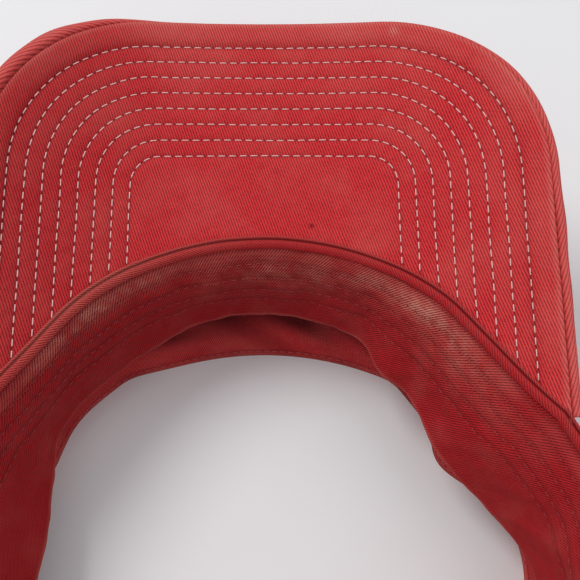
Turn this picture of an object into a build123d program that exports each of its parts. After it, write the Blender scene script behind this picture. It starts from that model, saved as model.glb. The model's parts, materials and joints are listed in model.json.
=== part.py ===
"""Open-top sun visor in washed cotton twill, lying upside down on its crown edge.

+Z is up, +Y runs out along the brim and +X is the wearer's left.  The crown's worn-top edge
stands on z = 0 and the head opening is clear from top to bottom.  Fabric parts are plain
closed layers.  The band is cut at both temples, where it flexes when its size is changed,
and the closure strap lies on a circle about the middle of the two flex lines, so it slides
along itself through the clasp.
"""
import os
from math import asin, atan2, cos, degrees, hypot, radians, sin, sqrt

from build123d import *

# ---- brim, in its own frame: origin at the seam's front, v forward, n off the curved sheet
BRIM_LENGTH = 74.7
BRIM_HALF_FLAT = 91.2          # half width measured along the curve, where the corners end
BRIM_ARCH = 169.0              # radius of the arch, seen from the front
BRIM_FRONT_RADIUS = 541.0
BRIM_CORNER_RADIUS = 57.7
BRIM_SIDE_RUN = 80.0           # how far the side edges run back, before the band cuts them
BRIM_SIDE_SPREAD = 1.6         # the sides still widen a little over that run
BRIM_SLOPE = 15.0              # the brim rises forwards
BOARD = 1.8
COVER = 0.7
EDGE_FOLD = 0.8                # the upper cover's fold round the board's edge
ROW_COUNT = 8
ROW_SPACING = 5.5
FIRST_ROW = 8.8                # first stitch row, from the edge
THREAD = 0.5
THREAD_LIFT = 0.25
BUTT = 0.15                    # clearance where the brim meets the band
SKIN_GAP = 0.02                # between the covers
BOARD_GAP = 0.1                # between the board's edge and the fold

# ---- band, in plan
SEAM_Y = 68.0                  # front of the seam between brim and band
WALL_TOP = 64.0                # height of the upper plan outline of the walls
SEAM_FRONT = 55.2              # seam heights at front, temple and back
SEAM_TEMPLE = 60.4
SEAM_BACK = 46.0
TEMPLE_Y = 5.0
PIVOT_Y = -8.0                 # the flex lines stand at (+-PIVOT_X, PIVOT_Y)
PIVOT_X = 82.0
FLEX_GAP = 1.8                 # half gap between front band and side band
SWEAT_FLEX_GAP = 3.0
REACH = 160.0                  # past everything, for cutting solids
BRIM_BACK = 6.0                # the brim's root stays in front of PIVOT_Y plus this
CUT_IN, CUT_OUT = 55.0, 60.0   # reach of the flex cut, inwards and outwards of its line

# ---- band layers, as depths in from the outer face
SHELL = (0.0, 0.85)
BUCKRAM = (0.9, 1.65)
LINING = (1.7, 2.4)
SIDE_LINING = (0.9, 1.6)
BINDING = (0.0, 4.4)
BINDING_RISE = 2.1
SEAM_CLEAR = 0.1
SWEAT = (0.0, 2.8)             # depths in from the sweatband's own back face
SWEAT_CORE = (0.8, 2.0)
SWEAT_GAP = 0.2                # between the lining and the back of the sweatband
SWEAT_HEM = 3.0                # solid fold along the free edge
SWEAT_SEAM = 2.0               # solid fold along the seam
SWEAT_FIRST_ROW = 3.0          # first quilting row, below the seam
SWEAT_ROW_CLEAR = 1.0          # rows stop this far above the free edge
SWEAT_ROWS = 5
SWEAT_ROW_SPACING = 5.2
FREE_EDGE_FRONT = 27.0
FREE_EDGE_SLOPE = 0.085
HEM_STITCH = 2.6               # stitch row above the band's worn-top edge

# ---- closure
BAND_END_X = 24.0
ARCH_RADIUS = 46.0
ARCH_CENTRE_Z = -22.0
STRAP_Z = (18.0, 38.0)
STRAP_DEPTH = (-2.5, -0.9)     # outside the shell
ANCHOR_ANGLE = (152.0, 163.5)  # left end, sewn down; angles run from the front about the pivot
STRAP_END_ANGLE = 138.0        # free tail, on the left band
STRAP_STITCH_EDGE = 1.6        # box stitch, in from the strap's edges
STRAP_STITCH_GAP = 0.8         # degrees between the box's corners and its end rows
STRAP_STITCH_TURN = 0.3        # width of an end row, in degrees
KEEPER_ANGLE = (151.0, 156.0)
KEEPER_WALL = 0.7
KEEPER_ROOM = 0.8              # play round the strap
KEEPER_REACH = (140.0, 165.0)  # the strap's passage, cut well past the keeper
CLASP_ANGLE = 174.5
CLASP_LENGTH = 26.0
CLASP_PLATE = 1.0
CLASP_FLOOR = -3.2             # top of the base plate, from the middle of the strap
EAR_GAP = 0.8
EAR_HEIGHT = 4.6
EAR_RUN = (-6.0, 4.0)          # ears, along the strap from the pin
CLASP_ROUNDING = 2.0
WINDOW_BORDER = 1.0
LIP_HALF = 5.0
LIP_OUT = 1.5
LEVER_SHORT = 1.0
LEVER_SIDE_GAP = 0.4
KNUCKLE_WALL = 0.8
LOOP_SIDE_GAP = 1.6
PIN_RADIUS = 0.8
PIN_CLEARANCE = 0.05
PIN_AT = (8.0, 3.1)
LEVER_FLOOR = 1.5
WINDOW = (7.6, 10.4)
LOOP_PLY = 0.8
LOOP_GAP = 0.05
LOOP_TAIL = 1.4


def turn(angle, radius, centre=(0.0, 0.0)):
    """Point at an angle from the front, clockwise seen from above."""
    a = radians(angle)
    return (centre[0] + radius * sin(a), centre[1] + radius * cos(a))


class Outline:
    """Half plan of a ring: front arc, shoulder arc, straight side, corner arc, back arc."""

    def __init__(self, front_y, front_radius, front_angle, shoulder_radius, side_angle,
                 side_length, corner_radius, z, slope=0.0):
        self.z, self.slope = z, slope
        front = (0.0, front_y - front_radius)
        end = turn(front_angle, front_radius, front)
        shoulder = turn(front_angle, -shoulder_radius, end)
        start = turn(side_angle, shoulder_radius, shoulder)
        stop = turn(side_angle + 90, side_length, start)
        corner = turn(side_angle, -corner_radius, stop)
        away = (corner[0], corner[1] - PIVOT_Y)
        self.back_radius = corner_radius + hypot(*away)
        self.back_angle = degrees(atan2(away[0], away[1]))
        self.arcs = [
            (front, front_radius, 0.0, front_angle),
            (shoulder, shoulder_radius, front_angle, side_angle),
            (corner, corner_radius, side_angle, self.back_angle),
            ((0.0, PIVOT_Y), self.back_radius, self.back_angle, 180.0),
        ]

    def spot(self, arc, angle, inset, side):
        x, y = turn(angle, arc[1] - inset, arc[0])
        return (side * x, y, self.z + self.slope * y)

    def bow(self, arc, first, last, inset, side=1):
        middle = (first + last) / 2
        points = [self.spot(arc, a, inset, side) for a in (first, middle, last)]
        return ThreePointArc(*points)

    def wire(self, inset):
        front, shoulder, corner, back = self.arcs
        span, rest = front[3], 360 - back[2]
        right = [self.bow(shoulder, *shoulder[2:], inset)]
        right += [Line(right[0] @ 1, self.spot(corner, corner[2], inset, 1))]
        right += [self.bow(corner, *corner[2:], inset)]
        left = [self.bow(corner, corner[3], corner[2], inset, -1)]
        left += [Line(left[0] @ 1, self.spot(shoulder, shoulder[3], inset, -1))]
        left += [self.bow(shoulder, shoulder[3], shoulder[2], inset, -1)]
        edges = [self.bow(front, -span, span, inset), *right]
        edges += [self.bow(back, back[2], rest, inset), *left]
        return Wire([edge.edge() for edge in edges])


SEAM_BULGE = 2.4               # the outline's front stands this far out, as the wall leans out
SEAM = Outline(SEAM_Y + SEAM_BULGE, 80.0, 35.0, 80.0, 54.0, 46.0, 50.0, WALL_TOP)
CROWN_EDGE = Outline(49.0, 115.0, 23.0, 18.0, 54.0, 50.0, 40.0, 0.0)
FREE_EDGE = Outline(53.0, 66.0, 35.0, 66.0, 75.0, 35.0, 38.0,
                    FREE_EDGE_FRONT - FREE_EDGE_SLOPE * 53.0, FREE_EDGE_SLOPE)


def fill(lower, upper, lower_inset, upper_inset):
    return Solid.make_loft([lower.wire(lower_inset), upper.wire(upper_inset)], ruled=True)


def layer(depths):
    """Full ring of one layer of the crown wall."""
    outer = fill(CROWN_EDGE, SEAM, depths[0], depths[0])
    return outer - fill(CROWN_EDGE, SEAM, depths[1], depths[1])


def sweat_layer(depths):
    """Full ring of one layer of the sweatband, from its back face inwards."""
    top = LINING[1] + SWEAT_GAP
    outer = fill(FREE_EDGE, SEAM, depths[0], top + depths[0])
    return outer - fill(FREE_EDGE, SEAM, depths[1], top + depths[1])


def side_view(points):
    """Solid over the whole width whose side view is a closed run of lines and one or two arcs."""
    return extrude(Plane.YZ * make_face(points), REACH, both=True)


def seam_arc(shift):
    front = (SEAM_Y, SEAM_FRONT + shift)
    back = (SEAM.arcs[3][0][1] - SEAM.back_radius, SEAM_BACK + shift)
    return ThreePointArc(front, (TEMPLE_Y, SEAM_TEMPLE + shift), back)


def below_seam(shift, floor=0.0):
    """Everything from the floor up to the seam line moved by shift."""
    arc = seam_arc(shift)
    front, back = arc @ 0, arc @ 1
    corners = [back, (-REACH, back.Y), (-REACH, floor), (REACH, floor), (REACH, front.Y), front]
    edges = [arc] + [Line(a, b) for a, b in zip(corners, corners[1:])]
    return side_view(edges)


def above_free_edge(rise):
    z_at = lambda y: FREE_EDGE.z + FREE_EDGE.slope * y + rise
    corners = [(-REACH, z_at(-REACH)), (REACH, z_at(REACH)), (REACH, REACH), (-REACH, REACH)]
    return side_view(Polyline(*corners, close=True))


def prism(points, low=-REACH, high=REACH):
    face = make_face(Polyline(*points, close=True))
    return extrude(Pos(0, 0, low) * face, high - low)


def cut_line(side, gap):
    """Inner and outer plan points of the flex cut, shifted towards the front by gap."""
    corner = SEAM.arcs[2][0]
    angle = atan2(PIVOT_Y - corner[1], PIVOT_X - corner[0])
    along, normal = (cos(angle), sin(angle)), (-sin(angle), cos(angle))

    def spot(r):
        x = PIVOT_X + r * along[0] + gap * normal[0]
        return (side * x, PIVOT_Y + r * along[1] + gap * normal[1])
    return spot(-CUT_IN), spot(CUT_OUT)


def front_sector(gap):
    (rx, ry), (rox, roy) = cut_line(1, gap)
    (lx, ly), (lox, loy) = cut_line(-1, gap)
    return prism([(rx, ry), (rox, roy), (REACH, REACH), (-REACH, REACH), (lox, loy), (lx, ly)])


def arm_sector(side, gap):
    inner, outer = cut_line(side, -gap)
    edge = side * BAND_END_X
    return prism([inner, outer, (side * REACH, -REACH), (edge, -REACH), (edge, inner[1])])


def wedge(first, last, low, high):
    """Sector about the pivot's middle between two angles, and between two heights."""
    centre = (0.0, PIVOT_Y)
    points = [centre, turn(first, REACH, centre), turn(last, REACH, centre)]
    return prism(points, low, high)


def closure_arch():
    """The band narrows to the strap along this round cut at the back."""
    place = Pos(0, -REACH / 2, ARCH_CENTRE_Z) * Rot(90, 0, 0)
    return place * Cylinder(ARCH_RADIUS, REACH)


# ---- brim

def flat_point(u, v):
    """Point of the flat pattern, seen square on to the middle of the curved brim."""
    return (BRIM_ARCH * sin(u / BRIM_ARCH), v)


def brim_outline(inset):
    """Closed outline parallel to the brim's edge, running back past the band."""
    front = (0.0, BRIM_LENGTH - BRIM_FRONT_RADIUS)
    reach = BRIM_FRONT_RADIUS - BRIM_CORNER_RADIUS
    corner_u = BRIM_HALF_FLAT - BRIM_CORNER_RADIUS
    corner = (corner_u, front[1] + sqrt(reach ** 2 - corner_u ** 2))
    join = degrees(asin(corner_u / reach))
    edge_r, corner_r = BRIM_FRONT_RADIUS - inset, BRIM_CORNER_RADIUS - inset
    front_run = [turn(a, edge_r, front) for a in (join, join / 2, 0, -join / 2, -join)]
    step = (90 - join) / 4
    bend = [turn(join + step * k, corner_r, corner) for k in range(5)]
    right = [flat_point(*p) for p in bend]
    tail = flat_point(BRIM_HALF_FLAT + BRIM_SIDE_SPREAD - inset, corner[1] - BRIM_SIDE_RUN)
    mirror = lambda p: (-p[0], p[1])
    top = [flat_point(*p) for p in front_run]
    edges = [ThreePointArc(top[4], top[2], top[0])]
    edges += [ThreePointArc(*right[0:3]), ThreePointArc(*right[2:5]), Line(right[4], tail)]
    left = [mirror(p) for p in right]
    edges += [Line(tail, mirror(tail)), Line(mirror(tail), left[4])]
    edges += [ThreePointArc(left[4], left[3], left[2]), ThreePointArc(left[2], left[1], left[0])]
    return make_face(edges)


def sheet(top, bottom, inset):
    """Curved sheet between two depths below the visible face, cut to the outline."""
    blank = extrude(Pos(0, 0, -REACH / 2) * brim_outline(inset), REACH)
    axis = Pos(0, 0, BRIM_ARCH) * Rot(90, 0, 0)
    outer = axis * Cylinder(BRIM_ARCH + bottom, 4 * REACH)
    inner = axis * Cylinder(BRIM_ARCH + top, 4 * REACH)
    low_half = Pos(0, 0, BRIM_ARCH - REACH) * Box(4 * REACH, 4 * REACH, 2 * REACH)
    return (blank & outer & low_half) - inner


BRIM_PLACE = Pos(0, SEAM_Y, SEAM_FRONT) * Rot(BRIM_SLOPE, 0, 0)
BAND_BLOCK = fill(CROWN_EDGE, SEAM, -BUTT, -BUTT)
BEHIND = Pos(0, -REACH + PIVOT_Y + BRIM_BACK, 0) * Box(4 * REACH, 2 * REACH, 4 * REACH)
ABOVE_BAND = extrude(make_face(SEAM.wire(-BUTT)), REACH, dir=(0, 0, 1))


def on_brim(solid):
    """Place a brim piece and cut it back to the band's outer face."""
    placed = BRIM_PLACE * solid
    return largest(placed - BAND_BLOCK - BEHIND - ABOVE_BAND)


def largest(shape, count=1):
    solids = sorted(shape.solids(), key=lambda s: -s.volume)[:count]
    return solids[0] if count == 1 else Compound(children=solids)


def build_brim(parts):
    thick = 2 * COVER + BOARD
    skin = sheet(0, COVER - SKIN_GAP, EDGE_FOLD + BOARD_GAP / 2)
    board = sheet(COVER, COVER + BOARD, EDGE_FOLD + BOARD_GAP)
    wrap = sheet(0, thick, 0) - sheet(-1, COVER + BOARD + SKIN_GAP, EDGE_FOLD)
    parts["brim_board"] = on_brim(board)
    parts["brim_under_cover"] = on_brim(skin)
    parts["brim_upper_cover"] = on_brim(wrap)
    for row in range(ROW_COUNT):
        inset = FIRST_ROW + row * ROW_SPACING
        line = sheet(-THREAD_LIFT, 0, inset) - sheet(-1, 1, inset + THREAD)
        parts[f"brim_stitch_row_{row + 1}"] = on_brim(line)


# ---- band

def build_front(parts):
    sector, sweat_sector = front_sector(FLEX_GAP), front_sector(SWEAT_FLEX_GAP)
    body = below_seam(0)
    for name, depths in (("shell", SHELL), ("buckram", BUCKRAM), ("lining", LINING)):
        parts[f"crown_{name}_front"] = largest(layer(depths) & sector & body)
    parts["crown_edge_stitch_front"] = edge_stitch(LINING[1], sector)
    cap = below_seam(BINDING_RISE) - below_seam(SEAM_CLEAR, -REACH)
    parts["seam_binding_front"] = largest(layer(BINDING) & cap & sector)
    build_sweatband(parts, "front", sweat_sector)


def build_arm(parts, name, side):
    sector, sweat_sector = arm_sector(side, FLEX_GAP), arm_sector(side, SWEAT_FLEX_GAP)
    body = below_seam(0) - closure_arch()
    for piece, depths in (("shell", SHELL), ("lining", SIDE_LINING)):
        parts[f"crown_{piece}_{name}"] = largest(layer(depths) & sector & body)
    parts[f"crown_edge_stitch_{name}"] = edge_stitch(SIDE_LINING[1], sector - closure_arch())
    cap = below_seam(BINDING_RISE) - below_seam(SEAM_CLEAR, -REACH)
    parts[f"seam_binding_{name}"] = largest(layer(BINDING) & cap & sector)
    build_sweatband(parts, name, sweat_sector)


def edge_stitch(inner_depth, sector):
    """Stitch rows on both faces of the band, just above its worn-top edge."""
    low, high = HEM_STITCH, HEM_STITCH + THREAD
    band = Pos(0, 0, (low + high) / 2) * Box(4 * REACH, 4 * REACH, high - low)
    inside = layer((inner_depth, inner_depth + THREAD_LIFT)) & band & sector
    outside = layer((-THREAD_LIFT, 0)) & band & sector
    return Compound(children=[largest(inside), largest(outside)])


def build_sweatband(parts, name, sector):
    face = sweat_layer(SWEAT) & below_seam(0) & above_free_edge(0)
    core = sweat_layer(SWEAT_CORE) & below_seam(-SWEAT_SEAM) & above_free_edge(SWEAT_HEM)
    parts[f"sweatband_{name}"] = largest((face - core) & sector)
    parts[f"sweatband_core_{name}"] = largest(core & sector)
    skin = sweat_layer((SWEAT[1], SWEAT[1] + THREAD_LIFT)) & sector
    skin = skin & above_free_edge(SWEAT_ROW_CLEAR)
    rows = []
    for row in range(SWEAT_ROWS):
        drop = -SWEAT_FIRST_ROW - row * SWEAT_ROW_SPACING
        line = skin & (below_seam(drop) - below_seam(drop - THREAD, -REACH))
        rows += [largest(line)] if line.solids() else []
    parts[f"sweatband_stitch_{name}"] = Compound(children=rows)


# ---- closure

def build_strap(parts):
    """The strap and the square of stitches that holds its end to the right band."""
    first, last = 360 - ANCHOR_ANGLE[1], 360 - ANCHOR_ANGLE[0]
    strip = layer(STRAP_DEPTH) & wedge(STRAP_END_ANGLE, last, *STRAP_Z)
    pad = layer((STRAP_DEPTH[1], 0)) & wedge(first, last, *STRAP_Z)
    parts["size_strap"] = largest(strip + pad)
    skin = layer((STRAP_DEPTH[0] - THREAD_LIFT, STRAP_DEPTH[0]))
    low, high = STRAP_Z[0] + STRAP_STITCH_EDGE, STRAP_Z[1] - STRAP_STITCH_EDGE
    rows = []
    for z in (low, high - THREAD):
        rows.append(largest(skin & wedge(first, last - STRAP_STITCH_GAP, z, z + THREAD)))
    for at in (first + 2 * STRAP_STITCH_TURN, last - 4 * STRAP_STITCH_TURN):
        reach = wedge(at, at + STRAP_STITCH_TURN, low + STRAP_STITCH_GAP, high - STRAP_STITCH_GAP)
        rows.append(largest(skin & reach))
    parts["strap_box_stitch"] = Compound(children=rows)


def build_keeper(parts):
    low, high = STRAP_Z[0] - KEEPER_ROOM, STRAP_Z[1] + KEEPER_ROOM
    out = STRAP_DEPTH[0] - KEEPER_ROOM
    walls = wedge(*KEEPER_ANGLE, low - KEEPER_WALL, high + KEEPER_WALL)
    slot = layer((out, SHELL[1])) & wedge(*KEEPER_REACH, low, high)
    parts["strap_keeper"] = largest((layer((out - KEEPER_WALL, 0)) & walls) - slot)


def clasp_place():
    """Frame on the middle of the strap: x along it, y up the lean, z outwards."""
    middle = sum(STRAP_Z) / 2
    depth = sum(STRAP_DEPTH) / 2
    share = middle / WALL_TOP
    radius = CROWN_EDGE.back_radius * (1 - share) + SEAM.back_radius * share - depth
    x, y = turn(CLASP_ANGLE, radius, (0.0, PIVOT_Y))
    rise = Vector(0, SEAM.back_radius - CROWN_EDGE.back_radius, WALL_TOP).normalized()
    a = radians(CLASP_ANGLE)
    outward = Vector(sin(a) * rise.Z, cos(a) * rise.Z, -rise.Y)
    tangent = Vector(-cos(a), sin(a), 0)
    return Plane(origin=(x, y, middle), x_dir=tangent, z_dir=outward).location


def block(x, y, z):
    """Box from three (low, high) pairs."""
    size = [hi - lo for lo, hi in (x, y, z)]
    return Pos(*[(lo + hi) / 2 for lo, hi in (x, y, z)]) * Box(*size)


def build_clasp(parts):
    place = clasp_place()
    half = (STRAP_Z[1] - STRAP_Z[0]) / 2 + EAR_GAP
    knuckle = Pos(PIN_AT[0], 0, PIN_AT[1]) * Rot(90, 0, 0)
    build_clasp_frame(parts, place, half, knuckle)
    build_clasp_lever(parts, place, half, knuckle)
    build_clasp_loop(parts, place, half)


def build_clasp_frame(parts, place, half, knuckle):
    """Base plate with two ears, and the pin through them."""
    wide = half + CLASP_PLATE
    end = CLASP_LENGTH / 2
    floor = (CLASP_FLOOR - CLASP_PLATE, CLASP_FLOOR)
    frame = block((-end, end), (-wide, wide), floor)
    frame = fillet(frame.edges().filter_by(Axis.Z), CLASP_ROUNDING)
    window_half = half - WINDOW_BORDER
    frame -= block(WINDOW, (-window_half, window_half), (-REACH, REACH))
    run = (PIN_AT[0] + EAR_RUN[0], PIN_AT[0] + EAR_RUN[1])
    for low in (-wide, half):
        ear = block(run, (low, low + CLASP_PLATE), (floor[0], EAR_HEIGHT))
        frame += fillet(ear.edges().filter_by(Axis.Y).group_by(Axis.Z)[-1], CLASP_ROUNDING)
    frame -= knuckle * Cylinder(PIN_RADIUS, 3 * wide)
    parts["clasp_frame"] = place * frame
    parts["clasp_pin"] = place * (knuckle * Cylinder(PIN_RADIUS, 2 * wide))


def build_clasp_lever(parts, place, half, knuckle):
    """Plate that presses on the strap, its finger lip and its knuckle on the pin."""
    reach = half - LEVER_SIDE_GAP
    end = CLASP_LENGTH / 2
    sheet_z = (LEVER_FLOOR, LEVER_FLOOR + CLASP_PLATE)
    lever = block((LEVER_SHORT - end, PIN_AT[0]), (-reach, reach), sheet_z)
    lever += block((-end - LIP_OUT, LIP_OUT - end), (-LIP_HALF, LIP_HALF), sheet_z)
    lever += knuckle * Cylinder(PIN_RADIUS + KNUCKLE_WALL, 2 * reach)
    lever -= knuckle * Cylinder(PIN_RADIUS + PIN_CLEARANCE, 4 * reach)
    parts["clasp_lever"] = place * largest(lever)


def build_clasp_loop(parts, place, half):
    """Cloth folded round the bar beside the window, with both plies sewn to the left band."""
    loop_half = half - LOOP_SIDE_GAP
    end = CLASP_LENGTH / 2
    inside = (CLASP_FLOOR - CLASP_PLATE - LOOP_GAP, CLASP_FLOOR + LOOP_GAP)
    plies = (inside[0] - LOOP_PLY, inside[1] + LOOP_PLY)
    bar = WINDOW[1] - LOOP_GAP
    outer = block((bar - LOOP_PLY, end + LOOP_TAIL), (-loop_half, loop_half), plies)
    parts["clasp_loop"] = place * (outer - block((bar, 2 * end), (-half, half), inside))


def recentre(parts):
    """Move the origin to the middle of the underside of the whole object's box."""
    boxes = [shape.bounding_box() for shape in parts.values()]
    low = [min(getattr(box.min, axis) for box in boxes) for axis in "XYZ"]
    high = [max(getattr(box.max, axis) for box in boxes) for axis in "XYZ"]
    shift = (-(low[0] + high[0]) / 2, -(low[1] + high[1]) / 2, -low[2])
    print("shift", [round(s, 3) for s in shift], "size", [h - l for l, h in zip(low, high)])
    return {name: Pos(*shift) * shape for name, shape in parts.items()}, shift


def main():
    parts = {}
    build_brim(parts)
    build_front(parts)
    build_arm(parts, "left", 1)
    build_arm(parts, "right", -1)
    build_strap(parts)
    build_keeper(parts)
    build_clasp(parts)
    os.makedirs("parts", exist_ok=True)
    moved, shift = recentre(parts)
    for name, shape in moved.items():
        export_step(shape, f"parts/{name}.step")
    print("pivots", [round(v, 3) for v in (PIVOT_X, PIVOT_Y + shift[1])])
    hinge = Pos(*shift) * clasp_place() * Pos(PIN_AT[0], 0, PIN_AT[1])
    along = Plane(hinge).y_dir
    print("lever hinge", [round(v, 3) for v in hinge.position], [round(v, 5) for v in along])


main()
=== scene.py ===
"""Looks for an open-top sun visor in washed red cotton twill, lying upside down.

Shapes are worked out in millimetres in the visor's own plan: y = SEAM_Y is the front of the
seam between brim and band, z = 0 is the table.  to_frame() turns them into the frame's metres.
"""
import json
from math import asin, atan2, cos, degrees, hypot, pi, radians, sin, sqrt

import bpy
import numpy as np
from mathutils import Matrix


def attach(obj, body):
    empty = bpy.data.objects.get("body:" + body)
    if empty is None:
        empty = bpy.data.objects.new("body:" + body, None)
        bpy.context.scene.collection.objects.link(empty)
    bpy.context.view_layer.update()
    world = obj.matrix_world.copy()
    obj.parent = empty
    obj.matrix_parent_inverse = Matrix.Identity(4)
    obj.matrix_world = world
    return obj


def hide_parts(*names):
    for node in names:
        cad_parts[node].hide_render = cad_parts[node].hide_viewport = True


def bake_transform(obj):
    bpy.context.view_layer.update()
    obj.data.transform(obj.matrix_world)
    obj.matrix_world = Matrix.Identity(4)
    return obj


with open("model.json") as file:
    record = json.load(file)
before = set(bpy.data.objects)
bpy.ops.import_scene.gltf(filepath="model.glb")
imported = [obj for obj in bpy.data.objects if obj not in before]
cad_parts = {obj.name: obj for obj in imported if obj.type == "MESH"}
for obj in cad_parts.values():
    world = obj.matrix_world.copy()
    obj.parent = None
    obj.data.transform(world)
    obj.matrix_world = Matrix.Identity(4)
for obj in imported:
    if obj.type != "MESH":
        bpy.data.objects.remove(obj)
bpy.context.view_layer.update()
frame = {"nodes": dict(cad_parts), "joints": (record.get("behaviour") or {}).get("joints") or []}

# ---- the visor's sizes, in millimetres and degrees
BRIM_LENGTH = 74.7
BRIM_HALF_FLAT = 91.2
BRIM_ARCH = 169.0
BRIM_FRONT_RADIUS = 541.0
BRIM_CORNER_RADIUS = 57.7
BRIM_SIDE_RUN = 80.0
BRIM_SIDE_SPREAD = 1.6
BRIM_SLOPE = radians(15.0)
BRIM_THICK = 3.2
ROW_COUNT = 8
ROW_SPACING = 5.5
FIRST_ROW = 8.8
LAST_ROW = FIRST_ROW + (ROW_COUNT - 1) * ROW_SPACING
STITCH_PITCH = 3.5
THREAD_RADIUS = 0.2

SEAM_Y = 68.0
WALL_TOP = 64.0
SEAM_FRONT = 55.2
SEAM_TEMPLE = 60.4
SEAM_BACK = 46.0
TEMPLE_Y = 5.0
PIVOT_Y = -8.0
SHELL = (0.0, 0.85)
BUCKRAM = (0.9, 1.65)
LINING = (1.7, 2.4)
SIDE_LINING = (0.9, 1.6)
SWEAT_THICK = 2.6
SWEAT_CORE = (0.8, 1.8)
FREE_EDGE_FRONT = 27.0
FREE_EDGE_SLOPE = 0.085
HEM_ROW = 2.6                  # stitch row above the band's worn-top edge
BAND_END_X = 24.0
ARCH_RADIUS = 46.0
ARCH_CENTRE_Z = -22.0
STRAP_Z = (18.0, 38.0)
STRAP_DEPTH = (-2.5, -0.9)
STRAP_ENDS = (138.0, 208.0)
STRAP_SEWN = 196.5
KEEPER_ANGLES = (151.0, 156.0)
CLASP_ANGLE = 174.5
CELL = 0.7                     # mesh size of the fabric

flex = next(j for j in frame["joints"] if j["name"] == "left_band_flex")
SHIFT_Y = 1000 * flex["pos_m"][1] - PIVOT_Y
FRONT_BODY = "brim_and_front_band"


def to_frame(points):
    return (np.asarray(points, float) + (0.0, SHIFT_Y, 0.0)) / 1000


# ---- small helpers

def ripple(x, y, wave, seed):
    """Smooth seeded waviness between about -1 and 1, with wavelengths near wave."""
    rng = np.random.default_rng(seed)
    total = 0.0
    for _ in range(7):
        heading = rng.uniform(0, 2 * pi)
        pace = 2 * pi / (wave * rng.uniform(0.6, 1.7))
        total = total + np.sin(pace * (x * cos(heading) + y * sin(heading)) + rng.uniform(0, 2 * pi))
    return total / 4


def squared_off(x, power):
    """Cosine or sine made flatter at its tops, for rounded boxes."""
    return np.sign(x) * np.abs(x) ** power


def bump(x, centre, width):
    return np.exp(-((x - centre) / width) ** 2)


def smooth(x, low, high):
    t = np.clip((x - low) / (high - low), 0, 1)
    return t * t * (3 - 2 * t)


def run_length(points):
    steps = np.linalg.norm(np.diff(points, axis=0), axis=1)
    return np.concatenate([[0], np.cumsum(steps)])


def read_off(at, along, points):
    """Points of a line at the given places, measured the way along measures its own points."""
    return np.stack([np.interp(at, along, column) for column in points.T], axis=-1)


def resample(points, count):
    along = run_length(points)
    return read_off(np.linspace(0, along[-1], count), along, points)


def unit(vectors):
    return vectors / np.maximum(np.linalg.norm(vectors, axis=-1, keepdims=True), 1e-9)


def raised(spots, z):
    """Points of the plan at a height; with nought, level vectors."""
    heights = np.broadcast_to(np.asarray(z, float)[..., None], spots.shape[:-1] + (1,))
    return np.concatenate([spots, heights], axis=-1)


def pair(first, second):
    """Two values side by side, broadcast together."""
    return np.stack(np.broadcast_arrays(first, second), axis=-1)


def inwards_of(line):
    """Unit vectors to the right of a line in the plan: inwards, where it runs clockwise."""
    tangent = unit(np.gradient(line, axis=0))
    return pair(tangent[:, 1], -tangent[:, 0])


# ---- meshes

def add_object(name, data):
    """New object in the scene."""
    thing = bpy.data.objects.new(name, data)
    bpy.context.scene.collection.objects.link(thing)
    return thing


def add_mesh(name, points, faces, material, uv, extra=None, caps=0):
    """Object from points in the visor's plan, with values a point; the last faces are flat caps."""
    mesh = bpy.data.meshes.new(name)
    mesh.from_pydata(to_frame(points).tolist(), [], faces)
    mesh.update()
    corners = np.zeros(len(mesh.loops), np.int32)
    mesh.loops.foreach_get("vertex_index", corners)
    layer = mesh.uv_layers.new(name="cloth")
    layer.data.foreach_set("uv", uv[corners].astype(np.float32).ravel())
    for key, values in (extra or {}).items():
        attribute = mesh.attributes.new(key, "FLOAT", "POINT")
        attribute.data.foreach_set("value", np.asarray(values, np.float32).ravel())
    rounded = np.arange(len(faces)) < len(faces) - caps
    mesh.polygons.foreach_set("use_smooth", rounded)
    mesh.materials.append(material)
    return add_object(name, mesh)


def tube_faces(stations, rows, start=0):
    """Quads over a grid of points whose rows close on themselves."""
    index = start + np.arange(stations * rows).reshape(stations, rows)
    index = np.concatenate([index, index[:, :1]], axis=1)
    quads = np.stack([index[:-1, :-1], index[1:, :-1], index[1:, 1:], index[:-1, 1:]], axis=-1)
    return quads.reshape(-1, 4).tolist()


def cap_faces(rows, start, flip):
    """Quads across one end of a tube."""
    faces = []
    for k in range((rows - 1) // 2):
        quad = [k, k + 1, rows - 2 - k, rows - 1 - k]
        quad = list(dict.fromkeys(quad))
        faces.append([start + i for i in (quad[::-1] if flip else quad)])
    return faces


def add_tube(name, grid, material, uv, extra=None, flip=False, caps=(True, True)):
    """Piece from a grid (stations, rows, 3) whose rows close on themselves, capped at either end."""
    stations, rows = grid.shape[:2]
    faces = tube_faces(stations, rows)
    ends = cap_faces(rows, 0, False) if caps[0] else []
    ends += cap_faces(rows, (stations - 1) * rows, True) if caps[1] else []
    faces += ends
    if flip:
        faces = [f[::-1] for f in faces]
    values = {key: np.broadcast_to(value, (stations, rows)).ravel()
              for key, value in (extra or {}).items()}
    return add_mesh(name, grid.reshape(-1, 3), faces, material, uv.reshape(-1, 2), values, len(ends))


def closed_sheet(name, face, back, material, uv, extra=None, flip=False):
    """Closed layer between two grids of the same size, face and back."""
    grid = np.concatenate([face, back[:, ::-1]], axis=1)
    uvs = np.concatenate([uv, uv[:, ::-1]], axis=1)
    values = {}
    for key, value in (extra or {}).items():
        value = np.broadcast_to(value, face.shape[:2])
        values[key] = np.concatenate([value, value[:, ::-1]], axis=1)
    return add_tube(name, grid, material, uvs, values, flip)


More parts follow.
